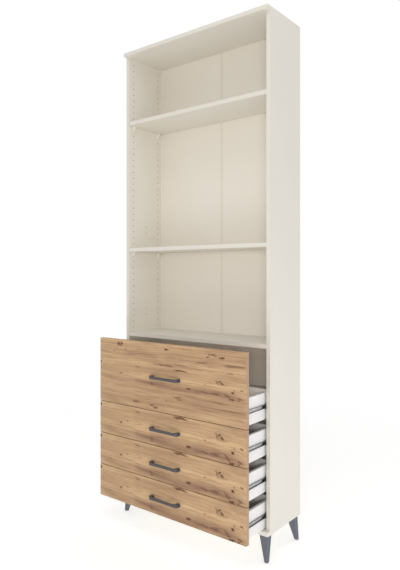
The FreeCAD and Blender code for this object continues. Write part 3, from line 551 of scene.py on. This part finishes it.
fixings = {
    "screwRows": (28.5, 172.5),     # behind the frame's origin
    "camRows": (4.5, 196.5),        # the same way, under the fixed shelf
    "runnerHoles": (28, 212),       # from the front end of a runner
    "runnerWall": 1,                # thickness of the runners' strip
    "camInset": 24,                 # from the end of a board
    "drawerCamRise": 88,            # above the lower edge of a drawer's side, as are the next
    "backScrewRises": (26, 96),
    "handleReach": 80,              # from the middle of a front to each handle screw
}
sideLow, sideHigh = boxOf("right_side")
topHigh = boxOf("top_panel")[1].z
bottomLow = boxOf("bottom_panel")[0].z
shelfLow = boxOf("fixed_shelf")[0].z
middleOfSide = (sideLow.x + sideHigh.x) / 2
carcassSpots = []
for hand in hands:
    for row in fixings["screwRows"]:
        carcassSpots.append(("capScrew", (hand * middleOfSide, row, topHigh), (0, 0, 1)))
        carcassSpots.append(("capScrew", (hand * middleOfSide, row, bottomLow), (0, 0, -1)))
    for row in fixings["camRows"]:
        carcassSpots.append(("cam", (hand * (sideLow.x - fixings["camInset"]), row, shelfLow), (0, 0, -1)))
runnerLow = boxOf("cabinet_runners_right")[0]
for number in drawerNumbers:
    sliderLow, sliderHigh = boxOf(f"drawer_{number}_runners")
    boxLow, boxHigh = boxOf(f"drawer_{number}_right_side")
    frontLow, frontHigh = boxOf(f"drawer_{number}_front")
    backLow, backHigh = boxOf(f"drawer_{number}_back")
    runnerLevel = (sliderLow.z + sliderHigh.z) / 2
    frontLevel = (frontLow.z + frontHigh.z) / 2
    middleOfBack = (backLow.y + backHigh.y) / 2
    spots = []
    for hand in hands:
        inward, outward = (-hand, 0, 0), (hand, 0, 0)
        channelFace = hand * (sideLow.x - fixings["runnerWall"])
        sliderFace = hand * (boxHigh.x + fixings["runnerWall"])
        for inset in fixings["runnerHoles"]:
            carcassSpots.append(("flushScrew", (channelFace, runnerLow.y + inset, runnerLevel), inward))
            spots.append(("runnerScrew", (sliderFace, sliderLow.y + inset, runnerLevel), outward))
        camSpot = (hand * boxLow.x, boxLow.y + fixings["camInset"], boxLow.z + fixings["drawerCamRise"])
        spots.append(("cam", camSpot, inward))
        spots.append(("panScrew", (hand * fixings["handleReach"], frontHigh.y, frontLevel), (0, 1, 0)))
        for rise in fixings["backScrewRises"]:
            spots.append(("backScrew", (hand * boxHigh.x, middleOfBack, boxLow.z + rise), outward))
    headSet(f"drawer{number}Screws", f"drawer_{number}", spots)
headSet("carcassScrews", "carcass", carcassSpots)
print("screw heads and cam faces:", len(drawerNumbers) + 1, "sets")

# Stage: pale floor that fades into white, and white all round for the camera and the reflections
stage = {
    "floorColour": "#F4F4F3", "floorReach": 9.0, "floorSteps": 64, "floorGlow": 0.33,
    "floorDrop": 0.5,           # mm, so that the feet don't share its plane
    "fadeFrom": 1.2, "fadeTo": 3.4,         # m from the middle
    "ambient": 0.68, "ambientBelow": 0.82,      # the pale floor goes on below the horizon
    "horizon": 0.05,            # half the height over which the two meet
}


def makeFloor():
    grid = bmesh.new()
    bmesh.ops.create_circle(grid, cap_ends=True, segments=stage["floorSteps"], radius=stage["floorReach"])
    mesh = bpy.data.meshes.new("floor")
    grid.to_mesh(mesh)
    grid.free()
    floor = bpy.data.objects.new("floor", mesh)
    bpy.context.scene.collection.objects.link(floor)
    floor.location.z = -stage["floorDrop"] * mm
    finish, tree = newFinish("paleFloor")
    place = addNode(tree, "TexCoord")
    away = addNode(tree, "VectorMath", {"operation": "LENGTH"}, {0: place.outputs["Object"]})
    fade = addNode(tree, "MapRange", {"interpolation_type": "SMOOTHSTEP", 1: stage["fadeFrom"],
                                      2: stage["fadeTo"]}, {0: away.outputs["Value"]})
    matt = addNode(tree, "BsdfDiffuse", {"Color": linearColour(stage["floorColour"])})
    glow = addNode(tree, "Emission", {"Color": (1, 1, 1, 1), "Strength": stage["floorGlow"]})
    lit = addNode(tree, "AddShader", links={0: matt.outputs[0], 1: glow.outputs[0]})
    clear = addNode(tree, "BsdfTransparent")
    mixed = addNode(tree, "MixShader", links={0: fade.outputs[0], 1: lit.outputs[0], 2: clear.outputs[0]})
    addNode(tree, "OutputMaterial", links={"Surface": mixed.outputs[0]})
    mesh.materials.append(finish)


def makeWorld():
    world = bpy.data.worlds.new("studio")
    bpy.context.scene.world = world
    world.use_nodes = True
    tree = world.node_tree
    tree.nodes.clear()
    ray = addNode(tree, "LightPath")
    seen = addNode(tree, "Math", {"operation": "MAXIMUM"},
                   {0: ray.outputs["Is Camera Ray"], 1: ray.outputs["Is Glossy Ray"]})
    shown = addNode(tree, "Math", {"operation": "MAXIMUM"},
                    {0: seen.outputs[0], 1: ray.outputs["Is Transmission Ray"]})
    place = addNode(tree, "TexCoord")
    axes = addNode(tree, "SeparateXYZ", links={0: place.outputs["Generated"]})
    around = addNode(tree, "MapRange", {1: -stage["horizon"], 2: stage["horizon"], 3: stage["ambientBelow"],
                                        4: stage["ambient"]}, {0: axes.outputs[2]})
    level = addNode(tree, "Mix", {3: 1.0}, {0: shown.outputs[0], 2: around.outputs[0]})
    sky = addNode(tree, "Background", {"Color": (1, 1, 1, 1)}, {"Strength": level.outputs[0]})
    addNode(tree, "OutputWorld", links={"Surface": sky.outputs[0]})


# Lamps: place, aim, width and height in metres, power in watts
lamps = {
    "keyPanel": {"place": (2.78, -3.85, 1.47), "aim": (0, 0, 1), "size": (1.2, 0.4), "power": 58,
                 "colour": "#FFFFFF"},
    "sidePanel": {"place": (1.7, 0.1, 0.05), "aim": (0.45, 0, 0.35), "size": (1, 1), "power": 3.5,
                  "colour": "#E8E9FF"},
    "topPanel": {"place": (0.6, -1.6, 4.2), "aim": (0, 0, 1.2), "size": (2, 2), "power": 16,
                 "colour": "#FFFFFF"},
    "lowPanel": {"place": (0.4, -1.4, 0.05), "aim": (0, -0.1, 1.9), "size": (1.4, 1.4), "power": 9,
                 "colour": "#FFFFFF"},
}


def makeLamps():
    for name, setting in lamps.items():
        lamp = bpy.data.lights.new(name, "AREA")
        lamp.shape = "RECTANGLE"
        lamp.size, lamp.size_y = setting["size"]
        lamp.energy = setting["power"]
        lamp.color = linearColour(setting["colour"])[:3]
        holder = bpy.data.objects.new(name, lamp)
        holder.location = setting["place"]
        aim = Vector(setting["aim"]) - Vector(setting["place"])
        holder.rotation_euler = aim.to_track_quat("-Z", "Y").to_euler()
        bpy.context.scene.collection.objects.link(holder)


# Camera: level, turned to the left, with its frame shifted down a little as in the photograph
camera = {"place": (1.6987, -2.1192, 1.258), "turn": 38.19, "lens": 35.0, "shift": -0.0191}


def makeCamera():
    lens = bpy.data.cameras.new("camera")
    lens.lens = camera["lens"]
    lens.shift_y = camera["shift"]
    holder = bpy.data.objects.new("camera", lens)
    holder.location = camera["place"]
    holder.rotation_euler = (math.radians(90), 0, math.radians(camera["turn"]))
    bpy.context.scene.collection.objects.link(holder)
    bpy.context.scene.camera = holder


makeFloor()
makeWorld()
makeLamps()
makeCamera()
bpy.context.scene.view_settings.view_transform = "Standard"
print("stage, lamps and camera set")
